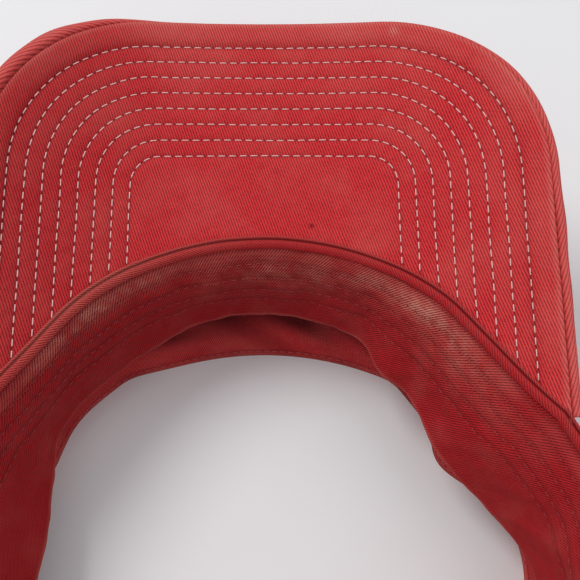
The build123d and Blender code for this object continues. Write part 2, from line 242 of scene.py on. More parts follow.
def stitch_points(path, normals, pitch, fill, radius, lift):
    """Separate thread capsules along a path, each dipping into its two needle holes."""
    along = run_length(path)
    count = max(int(along[-1] / pitch), 1)
    starts = (np.arange(count) + 0.5) * along[-1] / count
    steps = np.linspace(-0.5, 0.5, 7)
    at = starts[:, None] + steps * pitch * fill
    middle = read_off(at, along, path)
    up = unit(read_off(at, along, normals))
    ahead = unit(np.gradient(middle, axis=1))
    side = np.cross(ahead, up)
    dip = 1 - (2 * np.abs(steps)) ** 4
    girth = radius * np.sqrt(np.clip(1 - (2 * np.abs(steps)) ** 6, 0.12, 1))
    middle = middle + up * (lift * dip - 0.9 * radius * (1 - dip))[None, :, None]
    spokes = np.arange(6) * pi / 3
    rim = np.cos(spokes)[:, None] * side[:, :, None] + np.sin(spokes)[:, None] * up[:, :, None]
    return middle[:, :, None] + girth[None, :, None, None] * rim


def add_stitches(name, runs, material, pitch=STITCH_PITCH, fill=0.8, radius=THREAD_RADIUS, lift=0.1):
    points, faces, uvs = [], [], []
    count = 0
    for path, normals in runs:
        blocks = stitch_points(path, normals, pitch, fill, radius, lift)
        for block in blocks:
            rings, spokes = block.shape[:2]
            points.append(block.reshape(-1, 3))
            faces += tube_faces(rings, spokes, count)
            faces += cap_faces(spokes, count, False)
            faces += cap_faces(spokes, count + (rings - 1) * spokes, True)
            turns = np.broadcast_to(np.arange(spokes), (rings, spokes))
            steps = np.broadcast_to(np.arange(rings)[:, None], (rings, spokes))
            uvs.append(pair(turns, steps).reshape(-1, 2) * 0.2)
            count += rings * spokes
    return add_mesh(name, np.concatenate(points), faces, material, np.concatenate(uvs))


# ---- the band's rings, seen from above

def turned(angle, radius, centre=(0.0, 0.0)):
    """Point at an angle in degrees from the front, clockwise seen from above."""
    a = np.radians(angle)
    return pair(centre[0] + radius * np.sin(a), centre[1] + radius * np.cos(a))


class Ring:
    """Outline of a ring: front arc, shoulder arc, straight side, corner arc and back arc."""

    def __init__(self, front_y, front_radius, front_angle, shoulder_radius, side_angle,
                 side_length, corner_radius, wander=()):
        self.wander = wander
        front = (0.0, front_y - front_radius)
        arc = turned(np.linspace(0, front_angle, 60), front_radius, front)
        shoulder = turned(front_angle, -shoulder_radius, arc[-1])
        bend = turned(np.linspace(front_angle, side_angle, 60), shoulder_radius, shoulder)
        side = turned(side_angle + 90, np.linspace(0, side_length, 40), bend[-1])
        stop = side[-1]
        corner = turned(side_angle, -corner_radius, stop)
        away = (corner[0], corner[1] - PIVOT_Y)
        back_angle = degrees(atan2(away[0], away[1]))
        turn = turned(np.linspace(side_angle, back_angle, 60), corner_radius, corner)
        self.back_radius = corner_radius + hypot(*away)
        back = turned(np.linspace(back_angle, 180, 60), self.back_radius, (0.0, PIVOT_Y))
        half = np.concatenate([arc, bend[1:], side[1:], turn[1:], back[1:]])
        self.polar = np.degrees(np.arctan2(half[:, 0], half[:, 1] - PIVOT_Y))
        self.radius = np.hypot(half[:, 0], half[:, 1] - PIVOT_Y)

    def spots(self, polar, inset):
        """Points at polar angles about the pivots' middle, moved inwards by inset."""
        fine = np.linspace(-180, 180, 2881)
        radius = np.interp(np.abs(fine), self.polar, self.radius)
        radius = radius + sum(out * bump(fine, at, wide) for at, out, wide in self.wander)
        line = turned(fine, radius, (0.0, PIVOT_Y))
        normal = unit(read_off(polar, fine, inwards_of(line)))
        return read_off(polar, fine, line) + np.asarray(inset)[..., None] * normal, normal


SEAM = Ring(SEAM_Y + 2.4, 80.0, 35.0, 80.0, 54.0, 46.0, 50.0)
# The worn edge isn't even: (polar angle, how far out, how wide in degrees).
EDGE_WANDER = [(-52, 2.2, 13), (-68, 6.5, 14), (78, -7.0, 9)]
CROWN_EDGE = Ring(49.0, 115.0, 23.0, 18.0, 54.0, 50.0, 40.0, EDGE_WANDER)
FREE_EDGE = Ring(53.0, 66.0, 35.0, 66.0, 75.0, 35.0, 38.0)


def seam_height(y):
    """Height of the seam between band and sweatband: an arc in side view."""
    back_y = PIVOT_Y - SEAM.back_radius
    share = (y - TEMPLE_Y) / (SEAM_Y - TEMPLE_Y)
    behind = np.clip((TEMPLE_Y - y) / (TEMPLE_Y - back_y), 0, None)
    front = SEAM_TEMPLE + (SEAM_FRONT - SEAM_TEMPLE) * share ** 2
    back = SEAM_TEMPLE + (SEAM_BACK - SEAM_TEMPLE) * behind ** 1.9
    return np.where(y > TEMPLE_Y, front, np.where(y < TEMPLE_Y, back, SEAM_TEMPLE))


ROOT_SINK = 0.3                # the seam lies this far below the brim's under face


def brim_height(x, y):
    """Height of the brim's under face above a point of the plan."""
    x = np.clip(np.abs(x), 0, BRIM_ARCH * sin(BRIM_HALF_FLAT / BRIM_ARCH))
    w = BRIM_ARCH - np.sqrt(BRIM_ARCH ** 2 - x ** 2)
    v = (np.clip(y, PIVOT_Y, None) - SEAM_Y + w * sin(BRIM_SLOPE)) / cos(BRIM_SLOPE)
    return SEAM_FRONT + v * sin(BRIM_SLOPE) + w * cos(BRIM_SLOPE)


def wall_point(polar, z, depth):
    low, _ = CROWN_EDGE.spots(polar, depth)
    high, _ = SEAM.spots(polar, depth)
    share = (np.asarray(z) / WALL_TOP)[..., None]
    flat = low + (high - low) * share
    return raised(flat, z)


def wall_seam(polar, depth):
    """Where a wall layer ends at the seam: its height depends on its own y."""
    z = np.full(np.shape(polar), SEAM_FRONT)
    ahead = 1 - smooth(np.abs(polar), 88, 106)
    for _ in range(6):
        point = wall_point(polar, z, depth)
        lift = brim_height(point[..., 0], point[..., 1]) - seam_height(point[..., 1]) - ROOT_SINK
        z = seam_height(point[..., 1]) + ahead * lift.clip(0)
    return z


def wall_floor(polar):
    """Lower end of the wall: the table, or the round cut above the closure."""
    x = wall_point(polar, np.full(np.shape(polar), 20.0), 0.0)[..., 0]
    arch = np.sqrt(np.clip(ARCH_RADIUS ** 2 - x ** 2, 0, None)) + ARCH_CENTRE_Z
    behind = np.abs(polar) > 90
    return np.where(behind, np.clip(arch, 0, None), 0.0)


def end_angle():
    """Polar angle at which the band ends beside the closure."""
    return 180 - degrees(asin(BAND_END_X / back_radius(STRAP_Z[0], 0.0)))


def stations(part):
    """Polar angles of one stretch of the band, about one mesh size apart."""
    first, last = {"front": (-90, 90), "left": (90, end_angle()), "right": (-end_angle(), -90)}[part]
    count = int((last - first) * radians(1) * SEAM.back_radius * 0.8 / CELL)
    return np.linspace(first, last, count)


def free_ends(part):
    """Which ends of a stretch are open to view: those beside the closure."""
    return part == "right", part == "left"


def ring_length(polar):
    """Cloth length round the band up to each polar angle, nought at the front."""
    fine = np.linspace(-180, 180, 1441)
    line, _ = SEAM.spots(fine, 0.0)
    along = run_length(line)
    return np.interp(polar, fine, along) - along[-1] / 2


BODY = {"front": FRONT_BODY, "left": "left_band", "right": "right_band"}


def settle(piece, part):
    """The front stretch rides on the front's body; a side stretch has its place baked into its points.
    """
    if part == "front":
        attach(piece, FRONT_BODY)
        return
    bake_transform(piece)


def stand_in(piece, node, body=FRONT_BODY, part=None):
    """The piece takes a CAD node's place, riding on its body or settled with its stretch."""
    if part:
        settle(piece, part)
    else:
        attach(piece, body)
    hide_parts(node)


# ---- materials

def srgb(red, green, blue):
    """Linear colour of a display colour given from 0 to 255."""
    linear = []
    for part in (red, green, blue):
        part /= 255
        linear.append(part / 12.92 if part <= 0.04045 else ((part + 0.055) / 1.055) ** 2.4)
    return (*linear, 1.0)


class Nodes:
    """Short way to make shader nodes."""

    def __init__(self, name):
        self.material = bpy.data.materials.new(name)
        self.material.use_nodes = True
        self.tree = self.material.node_tree
        self.shader = self.tree.nodes["Principled BSDF"]

    def link(self, value, socket):
        if hasattr(value, "is_output"):
            self.tree.links.new(value, socket)
        else:
            socket.default_value = value

    def put(self, name, value):
        """Value or colour of one of the shader's inputs."""
        self.link(value, self.shader.inputs[name])

    def math(self, operation, *values):
        node = self.tree.nodes.new("ShaderNodeMath")
        node.operation = operation
        for value, socket in zip(values, node.inputs):
            self.link(value, socket)
        return node.outputs[0]

    def times(self, first, second):
        return self.math("MULTIPLY", first, second)

    def plus(self, first, second):
        return self.math("ADD", first, second)

    def mix(self, factor, first, second):
        node = self.tree.nodes.new("ShaderNodeMix")
        node.data_type = "RGBA"
        self.link(factor, node.inputs["Factor"])
        self.link(first, node.inputs[6])
        self.link(second, node.inputs[7])
        return node.outputs[2]

    def noise(self, vector, scale, detail=3.0, rough=0.6):
        node = self.tree.nodes.new("ShaderNodeTexNoise")
        self.link(vector, node.inputs["Vector"])
        for entry, value in (("Scale", scale), ("Detail", detail), ("Roughness", rough)):
            node.inputs[entry].default_value = value
        return node.outputs["Fac"]

    def remap(self, value, low, high, to_low=0.0, to_high=1.0):
        node = self.tree.nodes.new("ShaderNodeMapRange")
        node.clamp = True
        for entry, socket in zip((value, low, high, to_low, to_high), node.inputs):
            self.link(entry, socket)
        return node.outputs[0]

    def attribute(self, name):
        node = self.tree.nodes.new("ShaderNodeAttribute")
        node.attribute_name = name
        return node.outputs["Fac"]

    def bump(self, height, distance, strength=1.0):
        node = self.tree.nodes.new("ShaderNodeBump")
        node.inputs["Strength"].default_value = strength
        node.inputs["Distance"].default_value = distance
        self.link(height, node.inputs["Height"])
        return node.outputs[0]

    def uv(self):
        node = self.tree.nodes.new("ShaderNodeUVMap")
        node.uv_map = "cloth"
        return node.outputs[0]

    def place(self):
        return self.tree.nodes.new("ShaderNodeTexCoord").outputs["Object"]

    def split(self, vector):
        node = self.tree.nodes.new("ShaderNodeSeparateXYZ")
        self.link(vector, node.inputs[0])
        return node.outputs[0], node.outputs[1]


# Washed twill, from the valleys between the wales, darkened with painted shade, to their worn crests.
TWILL_DEEP = srgb(118, 12, 20)
TWILL_CREST = srgb(220, 54, 58)
# The same twill made darker and deeper in colour for the shade inside the band: painted shade.
SHADED_TWILL_DEEP = srgb(92, 3, 9)
SHADED_TWILL_CREST = srgb(192, 34, 40)
TWILL_FADED = srgb(214, 114, 104)
TWILL_SHADE = srgb(84, 4, 10)
GRIME = srgb(204, 146, 126)


def twill(name, wale, pitch=0.86, deep=TWILL_DEEP, crest=TWILL_CREST, faded=TWILL_FADED,
          depth=0.0002, fading=0.25, fleck=0.3, floats=2.0, rows=False):
    """Cotton twill over uv in millimetres; wale is the direction of its diagonal ribs."""
    n = Nodes(name)
    uv = n.uv()
    u, v = n.split(uv)
    length = hypot(*wale)
    along_u, along_v = wale[0] / length, wale[1] / length
    drift = n.times(n.math("SUBTRACT", n.noise(uv, 0.05, 2.0), 0.5), 0.9)
    cross = n.math("SUBTRACT", n.times(u, along_v), n.times(v, along_u))
    cross = n.plus(n.math("DIVIDE", cross, pitch), drift)
    along = n.plus(n.times(u, along_u), n.times(v, along_v))
    wale_number = n.math("FLOOR", cross)
    in_wale = n.math("SUBTRACT", n.math("FRACT", cross), 0.5)
    aside = n.times(n.math("ABSOLUTE", in_wale), 2.0)
    rib = n.math("SUBTRACT", 1.0, n.math("POWER", aside, 2.0))
    shifted = n.plus(n.math("DIVIDE", along, floats), n.times(wale_number, 0.37))
    yarn = n.math("SINE", n.times(n.plus(shifted, in_wale), 2 * pi))
    yarn = n.remap(yarn, -1.0, 1.0)
    fuzz = n.noise(uv, 1.9, 4.0, 0.75)
    patch = n.noise(uv, 0.045, 3.0)
    streak = n.noise(uv, 0.35, 2.0)
    height = n.plus(n.times(rib, 0.75), n.times(yarn, 0.25))
    height = n.plus(height, n.times(fuzz, 0.35))
    light = n.remap(n.plus(height, n.times(streak, 0.3)), 0.45, 1.22)
    # Painted shade in the wale valleys, lighter worn crests.
    colour = n.mix(light, deep, crest)
    colour = n.mix(n.remap(fuzz, 0.52, 0.72, 0.0, fleck), colour, faded)
    # fade is wear and, on the sweatband, also a painted highlight; both lighten the colour.
    worn = n.plus(n.attribute("fade"), n.times(n.remap(patch, 0.42, 0.72), fading))
    worn = n.times(n.math("MINIMUM", worn, 1.0), n.remap(height, 0.3, 1.2, 0.35, 1.0))
    colour = n.mix(worn, colour, faded)
    shade = n.attribute("shade")
    if rows:
        inset = n.attribute("inset")
        place = n.math("DIVIDE", n.math("SUBTRACT", inset, FIRST_ROW), ROW_SPACING)
        off = n.math("ABSOLUTE", n.math("SUBTRACT", place, n.math("ROUND", place)))
        near = n.remap(n.times(off, ROW_SPACING), 0.1, 0.4, 0.3, 0.0)
        inside = n.times(n.math("GREATER_THAN", inset, FIRST_ROW - 1),
                         n.math("LESS_THAN", inset, LAST_ROW + 1))
        shade = n.plus(shade, n.times(near, inside))
    colour = n.mix(n.math("MINIMUM", shade, 1.0), colour, TWILL_SHADE)
    dirt = n.times(n.attribute("grime"), n.remap(height, 0.55, 1.15, 0.06, 1.0))
    dirt = n.times(dirt, n.remap(fuzz, 0.36, 0.64, 0.35, 1.3))
    colour = n.mix(n.math("MINIMUM", dirt, 1.0), colour, GRIME)
    n.put("Base Color", colour)
    n.put("Normal", n.bump(height, depth))
    n.put("Roughness", n.remap(fuzz, 0.2, 0.8, 0.8, 0.95))
    n.put("Sheen Weight", 0.04)
    n.put("Sheen Roughness", 0.5)
    n.put("Sheen Tint", srgb(255, 190, 180))
    n.put("Specular IOR Level", 0.12)
    return n.material


def thread(name, dark, light):
    """Twisted cotton thread."""
    n = Nodes(name)
    u, v = n.split(n.uv())
    twist = n.math("SINE", n.times(n.plus(n.times(v, 3.0), u), 2 * pi))
    twist = n.remap(twist, -1.0, 1.0)
    fuzz = n.noise(n.place(), 900.0, 2.0)
    tone = n.plus(n.times(twist, 0.5), n.times(fuzz, 0.6))
    n.put("Base Color", n.mix(tone, dark, light))
    n.put("Normal", n.bump(twist, 0.00006))
    n.put("Roughness", 0.8)
    n.put("Sheen Weight", 0.2)
    return n.material


def brass():
    n = Nodes("antique_brass")
    place = n.place()
    patina = n.noise(place, 120.0, 5.0, 0.65)
    scratch = n.noise(place, 1400.0, 2.0)
    colour = n.mix(n.remap(patina, 0.4, 0.7), srgb(186, 148, 84), srgb(104, 76, 42))
    n.put("Base Color", colour)
    n.put("Metallic", 1.0)
    n.put("Roughness", n.remap(patina, 0.3, 0.8, 0.26, 0.52))
    n.put("Normal", n.bump(scratch, 0.00002, 0.5))
    return n.material


def interlining(name, dark, light, scale, depth):
    """Hidden inner cloth, board or foam: a fine open texture."""
    n = Nodes(name)
    grain = n.noise(n.place(), scale, 4.0)
    n.put("Base Color", n.mix(grain, dark, light))
    n.put("Normal", n.bump(grain, depth))
    n.put("Roughness", 0.85)
    return n.material


UNDER_TWILL = twill("under_brim_twill", (0.34, -0.94), rows=True)
UPPER_TWILL = twill("upper_brim_twill", (0.5, 0.86), fading=0.35, rows=True)
FOLD_TWILL = twill("brim_fold_twill", (0.93, 0.36), pitch=1.0)
SHELL_TWILL = twill("crown_shell_twill", (0.6, 0.8), fading=0.35)
LINING_TWILL = twill("crown_lining_twill", (0.6, 0.8), 0.86, SHADED_TWILL_DEEP, TWILL_CREST)
BINDING_TWILL = twill("seam_tape_twill", (0.7, 0.7), 0.8, TWILL_DEEP, SHADED_TWILL_CREST, fading=0.1)
SWEAT_TWILL = twill("sweatband_twill", (-0.68, 0.74), 0.82, SHADED_TWILL_DEEP, SHADED_TWILL_CREST, fading=0.06,
                    fleck=0.12)
STRAP_TWILL = twill("strap_twill", (0.6, 0.8))
WHITE_THREAD = thread("white_thread", srgb(214, 146, 142), srgb(250, 208, 202))
RED_THREAD = thread("red_thread", srgb(150, 36, 40), srgb(216, 84, 82))
DARK_THREAD = thread("sweatband_thread", srgb(124, 20, 25), srgb(172, 40, 43))
BRASS = brass()
BOARD = interlining("brim_board_plastic", srgb(222, 222, 216), srgb(240, 240, 236), 300.0, 0.00003)
BUCKRAM_CLOTH = interlining("buckram_cloth", srgb(206, 202, 186), srgb(236, 233, 220), 1500.0, 0.0001)
FOAM = interlining("sweatband_foam", srgb(206, 200, 188), srgb(232, 228, 218), 900.0, 0.0001)


# ---- brim

CORNER_U = BRIM_HALF_FLAT - BRIM_CORNER_RADIUS
FRONT_CENTRE_V = BRIM_LENGTH - BRIM_FRONT_RADIUS
CORNER_V = FRONT_CENTRE_V + sqrt((BRIM_FRONT_RADIUS - BRIM_CORNER_RADIUS) ** 2 - CORNER_U ** 2)
CORNER_START = degrees(asin(CORNER_U / (BRIM_FRONT_RADIUS - BRIM_CORNER_RADIUS)))


def side_u(v):
    """Half width of the flat brim where its sides run back to the band."""
    return BRIM_HALF_FLAT + BRIM_SIDE_SPREAD * np.clip((CORNER_V - v) / BRIM_SIDE_RUN, 0, 1.2)


def brim_inset(u, v):
    """Distance of a point of the flat brim from its edge."""
    u = np.abs(u)
    from_front = BRIM_FRONT_RADIUS - np.hypot(u, v - FRONT_CENTRE_V)
    from_side = side_u(v) - u
    away_u, away_v = u - CORNER_U, v - CORNER_V
    bearing = np.degrees(np.arctan2(away_u, away_v))
    in_corner = (away_u > 0) & (bearing > CORNER_START) & (bearing < 90)
    from_corner = BRIM_CORNER_RADIUS - np.hypot(away_u, away_v)
    return np.where(in_corner, from_corner, np.minimum(from_front, from_side))


def half_edge(inset):
    """Right half of the line parallel to the brim's edge, from its middle to the band."""
    front = turned(np.linspace(0, CORNER_START, 60), BRIM_FRONT_RADIUS - inset, (0, FRONT_CENTRE_V))
    corner = turned(np.linspace(CORNER_START, 90, 160), BRIM_CORNER_RADIUS - inset, (CORNER_U, CORNER_V))
    v = np.linspace(CORNER_V, CORNER_V - BRIM_SIDE_RUN - 20, 120)
    return front, corner, pair(side_u(v) - inset, v)


def on_brim(u, v, lift=0.0):
    """Point of the arched and sloping brim, raised by lift from its under face."""
    radius = BRIM_ARCH - lift
    x = radius * np.sin(u / BRIM_ARCH)
    w = BRIM_ARCH - radius * np.cos(u / BRIM_ARCH)
    y = SEAM_Y + v * cos(BRIM_SLOPE) - w * sin(BRIM_SLOPE)
    z = SEAM_FRONT + v * sin(BRIM_SLOPE) + w * cos(BRIM_SLOPE)
    return np.stack([x, y, z], axis=-1)


def seam_line():
    polar = np.linspace(0, 100, 400)
    line = wall_point(polar, wall_seam(polar, 0.0), 0.0)
    return line[:line[:, 0].argmax() + 1]


SEAM_LINE = seam_line()


def brim_root(u, reach):
    """v at which the brim meets the band, reach inside the band's outer face."""
    v = np.full(np.shape(u), 0.0)
    for _ in range(8):
        x, w = BRIM_ARCH * np.sin(np.abs(u) / BRIM_ARCH), BRIM_ARCH * (1 - np.cos(u / BRIM_ARCH))
        y = np.interp(x, SEAM_LINE[:, 0], SEAM_LINE[:, 1])
        v = (y - reach - SEAM_Y + w * sin(BRIM_SLOPE)) / cos(BRIM_SLOPE)
    return v


def brim_grid(inset, reach, cell):
    """(u, v) over the flat brim: columns run from the edge back into the band's wall."""
    front, corner, _ = half_edge(inset)
    line = np.concatenate([front, corner[1:]])
    measure = np.concatenate([[0], np.cumsum(np.hypot(np.diff(line[:, 0]), 0.4 * np.diff(line[:, 1])))])
    count = int(measure[-1] / cell)
    at = np.linspace(0, measure[-1], count)
    right = read_off(at, measure, line)
    top = np.concatenate([right[:0:-1] * (-1, 1), right])
    rows = int(84 / cell)
    share = np.linspace(0, 1, rows)
    root = brim_root(top[:, 0], reach)
    for _ in range(4):
        wide = side_u(root) / BRIM_HALF_FLAT
        root = brim_root(np.clip(top[:, 0] * wide, -BRIM_HALF_FLAT - 1.2, BRIM_HALF_FLAT + 1.2), reach)
    v = top[:, 1:] + (root - top[:, 1])[:, None] * share
    u = top[:, :1] * side_u(v) / BRIM_HALF_FLAT
    return u, v


def brim_rows(inset, width):
    """One at the brim's stitch rows and nought between them."""
    return sum(bump(inset, FIRST_ROW + k * ROW_SPACING, width) for k in range(ROW_COUNT))


def quilting(inset, row_depth, first_depth):
    """Height of the quilted cloth: soft ridges between stitched grooves."""
    place = (inset - FIRST_ROW) / ROW_SPACING
    between = np.abs(np.sin(pi * place)) ** 0.7 * 0.26
    zone = (inset > FIRST_ROW) & (inset < LAST_ROW)
    height = np.where(zone, between, 0)
    height = height + np.where(inset >= LAST_ROW, 0.3 * smooth(inset, LAST_ROW, LAST_ROW + 3), 0)
    height = height - row_depth * brim_rows(inset, 0.75)
    return height - first_depth * bump(inset, FIRST_ROW, 1.3)


def groove_shade(inset):
    return 0.22 * brim_rows(inset, 0.55) + 0.12 * bump(inset, FIRST_ROW + 0.3, 1.1)


def margin(inset, start):
    """Puffy turned margin between the edge ridge and the first stitch row."""
    share = np.clip((inset - start) / (FIRST_ROW - start), 0, 1)
    return 0.95 * np.sin(pi * share ** 0.75) ** 0.8


def under_height(u, v):
    inset = brim_inset(u, v)
    height = quilting(inset, 0.14, 0.22) + margin(inset, 0.4) + 0.35 * bump(inset, 0.6, 0.8)
    soft = 0.16 * ripple(u, v, 26, 11) + 0.07 * ripple(u, v, 8, 12)
    pucker = 0.06 * ripple(u * 1.6, v * 1.6, 4.5, 13)
    return height + soft + pucker * smooth(inset, 3, 8)


PINHOLE = (15.5, 3.2, 0.7)     # marks on the flat brim: u, v and size
EDGE_RUB = (44.0, 69.0, 1.6)


def spot_mark(u, v, mark):
    return bump(np.hypot(u - mark[0], v - mark[1]), 0, mark[2])


def add_under_cover():
    u, v = brim_grid(0.3, 2.6, CELL)
    inset = brim_inset(u, v)
    lift = under_height(u, v)
    face = on_brim(u, v, lift)
    back = on_brim(u, v, np.minimum(lift - 0.6, -0.55))
    fade = 0.5 * bump(inset, 0.8, 1.1) + 0.18 * bump(inset, 4.5, 3.0)
    fade = fade + 0.12 * ripple(u, v, 40, 21) * (inset < 20) + 0.1 * smooth(v, 35, 70)
    # Painted shade: the brim grows darker and less faded towards its left side.
    side = smooth(-u, 20, 85) * 0.25
    shade = groove_shade(inset) + side + spot_mark(u, v, PINHOLE)
    extra = {"fade": np.clip(fade - 0.3 * side, 0, 1), "shade": np.clip(shade, 0, 1),
             "grime": 0.75 * spot_mark(u, v, EDGE_RUB), "inset": inset}
    piece = closed_sheet("under_cover_cloth", face, back, UNDER_TWILL, pair(u, v), extra)
    stand_in(piece, "brim_under_cover")


def edge_path(inset, reach):
    """(u, v) along the whole edge, from the left end at the band to the right end."""
    front, corner, side = half_edge(inset)
    line = np.concatenate([front, corner[1:], side[1:]])
    root = brim_root(line[:, 0], reach)
    keep = (line[:, 1] >= root) | (line[:, 1] > CORNER_V)
    line = line[keep]
    return np.concatenate([line[:0:-1] * (-1, 1), line])


def overhang(u, v):
    """How far the turned edge stands out beyond the under side's ridge: most at the corners."""
    right = smooth(u, 58, 88) * (0.9 + 0.9 * smooth(-v, -34, 6))
    return 0.5 + 3.9 * smooth(-u, 30, 74) + right


def add_upper_cover():
    """The cloth on the brim's worn-top side."""
    u, v = brim_grid(0.2, 1.2, 0.9)
    inset = brim_inset(u, v)
    outside = quilting(inset, 0.12, 0.1) + 0.4 * margin(inset, 0.9) + 0.12 * ripple(u, v, 30, 31)
    face = on_brim(u, v, -BRIM_THICK - outside + 0.15)
    back = on_brim(u, v, -BRIM_THICK + 0.65)
    extra = {"fade": 0.3 * bump(inset, 0.9, 1.5) + 0.1 * ripple(u, v, 40, 34).clip(0), "inset": inset}
    piece = closed_sheet("upper_cover_cloth", face, back, UPPER_TWILL, pair(u, v), extra, flip=True)
    stand_in(piece, "brim_upper_cover")


FOLD_TURN = 112                # the fold's section runs this far round, either way
FOLD_MIDDLE = 1.2              # its middle line, in from the brim's edge


def add_edge_fold():
    """The upper cloth's fold round the board's edge, from the ridge to the worn-top side."""
    line = edge_path(0.0, 0.6)
    line = resample(line, int(run_length(line)[-1] / CELL))
    along = run_length(line)
    inwards = inwards_of(line)
    turn = np.radians(np.linspace(FOLD_TURN, -FOLD_TURN, 29))
    reach = overhang(line[:, 0], line[:, 1]) * (1 + 0.1 * ripple(along, 0 * along, 22, 33))
    move = FOLD_MIDDLE - (reach[:, None] + FOLD_MIDDLE) * squared_off(np.cos(turn), 0.8)
    valley = smooth(reach, 0.6, 2.5)[:, None] * 0.9 * bump(np.degrees(turn), 88, 16)
    rise = -BRIM_THICK / 2 - 0.1 + (BRIM_THICK / 2 + 0.4) * np.sin(turn) - valley
    u = line[:, :1] + inwards[:, :1] * move
    v = line[:, 1:] + inwards[:, 1:] * move
    face = on_brim(u, v, rise)
    inner = on_brim(u + inwards[:, :1] * 0.5, v + inwards[:, 1:] * 0.5, rise * 0.6 - 0.65)
    uv = pair(along[:, None], turn * (1.4 + reach[:, None] / 2))
    crest = 0.4 * bump(np.degrees(turn), 35, 35) + 0.2
    shade = 0.6 * bump(np.degrees(turn), 86, 13)
    extra = {"fade": crest[None, :], "shade": shade[None, :], "inset": np.full((1, 1), 3.0)}
    piece = closed_sheet("edge_fold_cloth", face, inner, FOLD_TWILL, uv, extra)
    stand_in(piece, "brim_upper_cover")


def add_brim_rows():
    for row in range(ROW_COUNT):
        inset = FIRST_ROW + row * ROW_SPACING
        line = edge_path(inset, -0.5)
        line = resample(line, int(run_length(line)[-1] / 0.8))
        wander = 0.12 * ripple(run_length(line), 0 * line[:, 0], 30, 50 + row)
        line = line + inwards_of(line) * wander[:, None]
        u, v = line[:, 0], line[:, 1]
        under = on_brim(u, v, under_height(u, v) + 0.02)
        bend = u / BRIM_ARCH
        normal = np.stack([-np.sin(bend), 0 * u - sin(BRIM_SLOPE), np.cos(bend)], axis=-1)
        upper = on_brim(u, v, -BRIM_THICK + 0.15 - 0.02)
        runs = [(under, unit(normal)), (upper, -unit(normal))]
        piece = add_stitches(f"stitch_row_{row + 1}_threads", runs, WHITE_THREAD)
        stand_in(piece, f"brim_stitch_row_{row + 1}")


# ---- crown band

CALM_POLAR = (118, 134)        # the band is flat from here back, under the strap


def wall_grid(polar, depth, sag):
    """Grid over one face of the band, from its worn-top edge up to the seam."""
    top = wall_seam(polar, depth)
    floor = wall_floor(polar)
    rows = int(WALL_TOP / 1.1)
    share = np.linspace(0, 1, rows)
    z = floor[:, None] + (top - floor)[:, None] * share
    points = wall_point(np.broadcast_to(polar[:, None], z.shape), z, depth)
    _, inwards = SEAM.spots(polar, 0.0)
    out = raised(-inwards, 0.0)[:, None]
    s = ring_length(polar)[:, None]
    free = np.sin(pi * np.clip(share, 0, 1)) ** 0.7
    calm = 1 - smooth(np.abs(polar), *CALM_POLAR)[:, None]
    wave = sag * free * calm * (0.7 * ripple(s, z, 34, 61) + 0.25 * ripple(s, z, 12, 62))
    return points + out * wave[..., None], pair(s, z), z


def add_wall_layer(kind, part, depths, material, sag=0.9):
    polar = stations(part)
    outer, uv, z = wall_grid(polar, depths[0], sag)
    inner, _, _ = wall_grid(polar, depths[1], sag)
    floor = z[:, :1]
    fade = 0.45 * bump(z - floor, 0.4, 1.3) + 0.15 * ripple(uv[..., 0], z, 30, 63)
    shade = 0.35 * bump(z - floor, HEM_ROW, 0.7)
    if kind == "lining":
        # Painted shade: the lining darkens under the sweatband's free edge, and ripples of painted shade
        # stand for folds.
        fold = 0.2 * ripple(uv[..., 0] + 1.4 * z, z, 26, 64)
        shade = shade + 0.1 + 0.8 * smooth(z, 7, 22) + fold
    extra = {"fade": np.clip(fade, 0, 1), "shade": np.clip(shade, 0, 1)}
    name = f"crown_{kind}_{part}"
    piece = closed_sheet(f"{name}_cloth", outer, inner, material, uv, extra, flip=True)
    stand_in(piece, name, part=part)


def add_hem_stitches(part, inner_depth):
    polar = stations(part)
    runs = []
    for depth, side in ((0.0, 1), (inner_depth, -1)):
        floor = wall_floor(polar)
        line = wall_point(polar, floor + HEM_ROW, depth - side * 0.03)
        _, inwards = SEAM.spots(polar, 0.0)
        runs.append((line, raised(-side * inwards, 0.0)))
    name = f"crown_edge_stitch_{part}"
    piece = add_stitches(f"{name}_threads", runs, RED_THREAD, pitch=3.0, radius=0.2)
    stand_in(piece, name, part=part)


# ---- sweatband

SWEAT_TOP_INSET = 2.9          # the sweatband leaves the seam tape here
SWEAT_ROWS = 5
SWEAT_ROW_SPACING = 5.2
# Slack of the free edge: at a polar angle, how far it stands inwards and up, and how wide.
SLACK = [(46, 7.5, 4.0, 9), (66, 7.0, 4.0, 13), (80, 5.0, 3.0, 10), (114, -12.0, 0.0, 17),
         (8, 1.5, 0.5, 20), (-30, 0.6, 0.0, 14), (-74, -5.6, 0.0, 17), (-108, 2.5, 2.0, 12),
         (-130, 2.0, 2.0, 18)]


# Stains: how strong, polar angle, how wide, distance below the seam and how deep.
STAINS = [(0.34, 8, 26, 9.0, 8.0), (0.7, -48, 22, 4.5, 2.8), (0.95, 46, 17, 6.0, 3.4),
          (0.3, 62, 16, 12.0, 5.0)]
SWEAT_FIRST_ROW = 2.0
SWEAT_ROW_WIDTH = 0.8


def sweat_rows(h):
    """One at the quilting rows and nought between them, at distances below the seam."""
    at = [SWEAT_FIRST_ROW + k * SWEAT_ROW_SPACING for k in range(SWEAT_ROWS)]
    return sum(bump(h, place, SWEAT_ROW_WIDTH) for place in at)


def free_edge(polar):
    spot, inwards = FREE_EDGE.spots(polar, 0.0)
    height = FREE_EDGE_FRONT + FREE_EDGE_SLOPE * (spot[..., 1] - 53.0)
    for centre, inward, up, width in SLACK:
        amount = bump(polar, centre, width)
        spot = spot + inwards * (inward * amount)[..., None]
        height = height + up * amount
    return raised(spot, height), inwards


